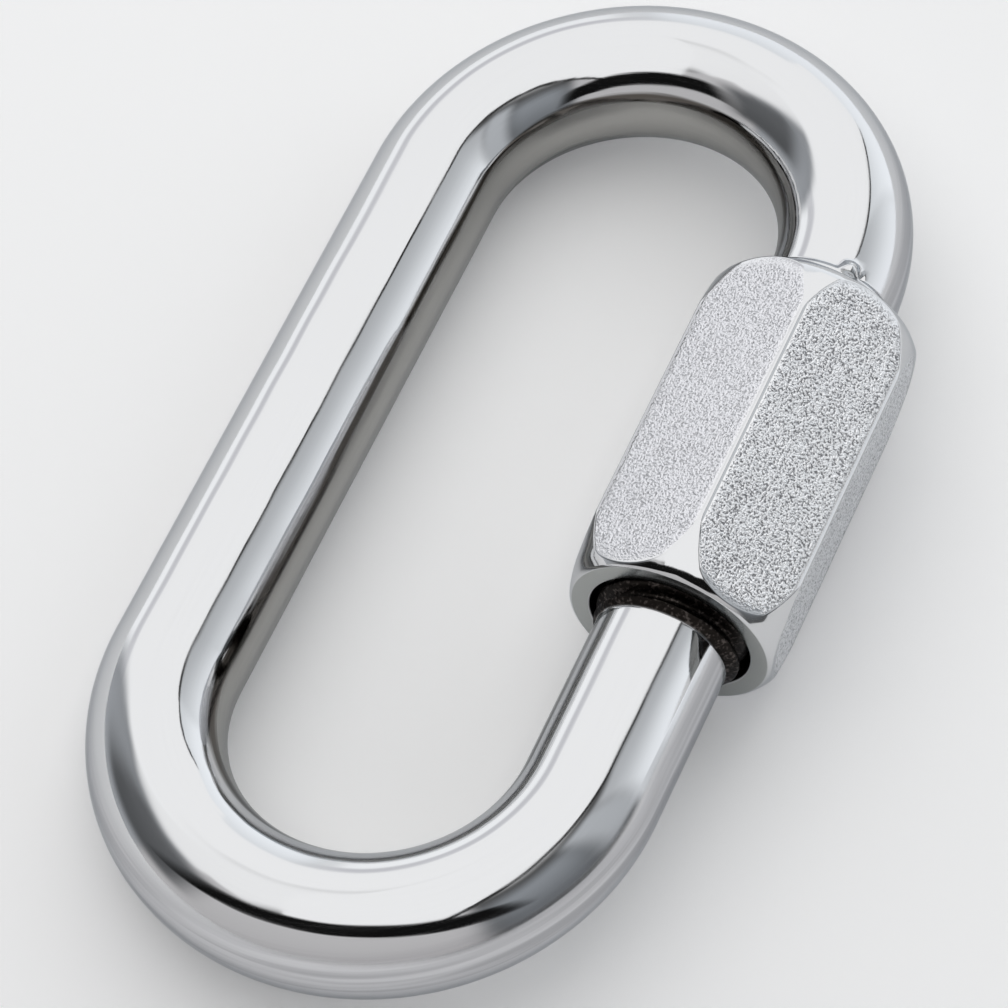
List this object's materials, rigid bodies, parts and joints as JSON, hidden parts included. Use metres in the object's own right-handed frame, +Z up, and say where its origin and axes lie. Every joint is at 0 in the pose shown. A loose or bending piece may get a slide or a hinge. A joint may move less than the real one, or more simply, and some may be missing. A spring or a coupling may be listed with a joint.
{
  "type": "chain quick link",
  "caption": "Oval screw-gate quick link: a bent round steel rod whose open side is closed by a long hexagon sleeve nut on raised threads.",
  "frame": {"origin": "middle of the loop, on the rod's centre plane", "axes": "+Y along the link towards the bow above the gate, +X towards the leg with the sleeve nut, +Z up out of the link's plane as it lies"},
  "size_m": [0.0453, 0.087, 0.0178],
  "materials": {
    "polished_steel": "bright polished stainless steel with fine drawn lines in the bends",
    "peened_steel": "satin peened flats with bright turned crowns and edges"
  },
  "bodies": {
    "link": {"link_body": "polished_steel"},
    "nut": {"sleeve_nut": "peened_steel"}
  },
  "joints": [
    {"name": "nut_travel", "type": "slide", "parent": "link", "child": "nut", "axis": [0, -1, 0], "range_m": [0, 0.0175]}
  ]
}
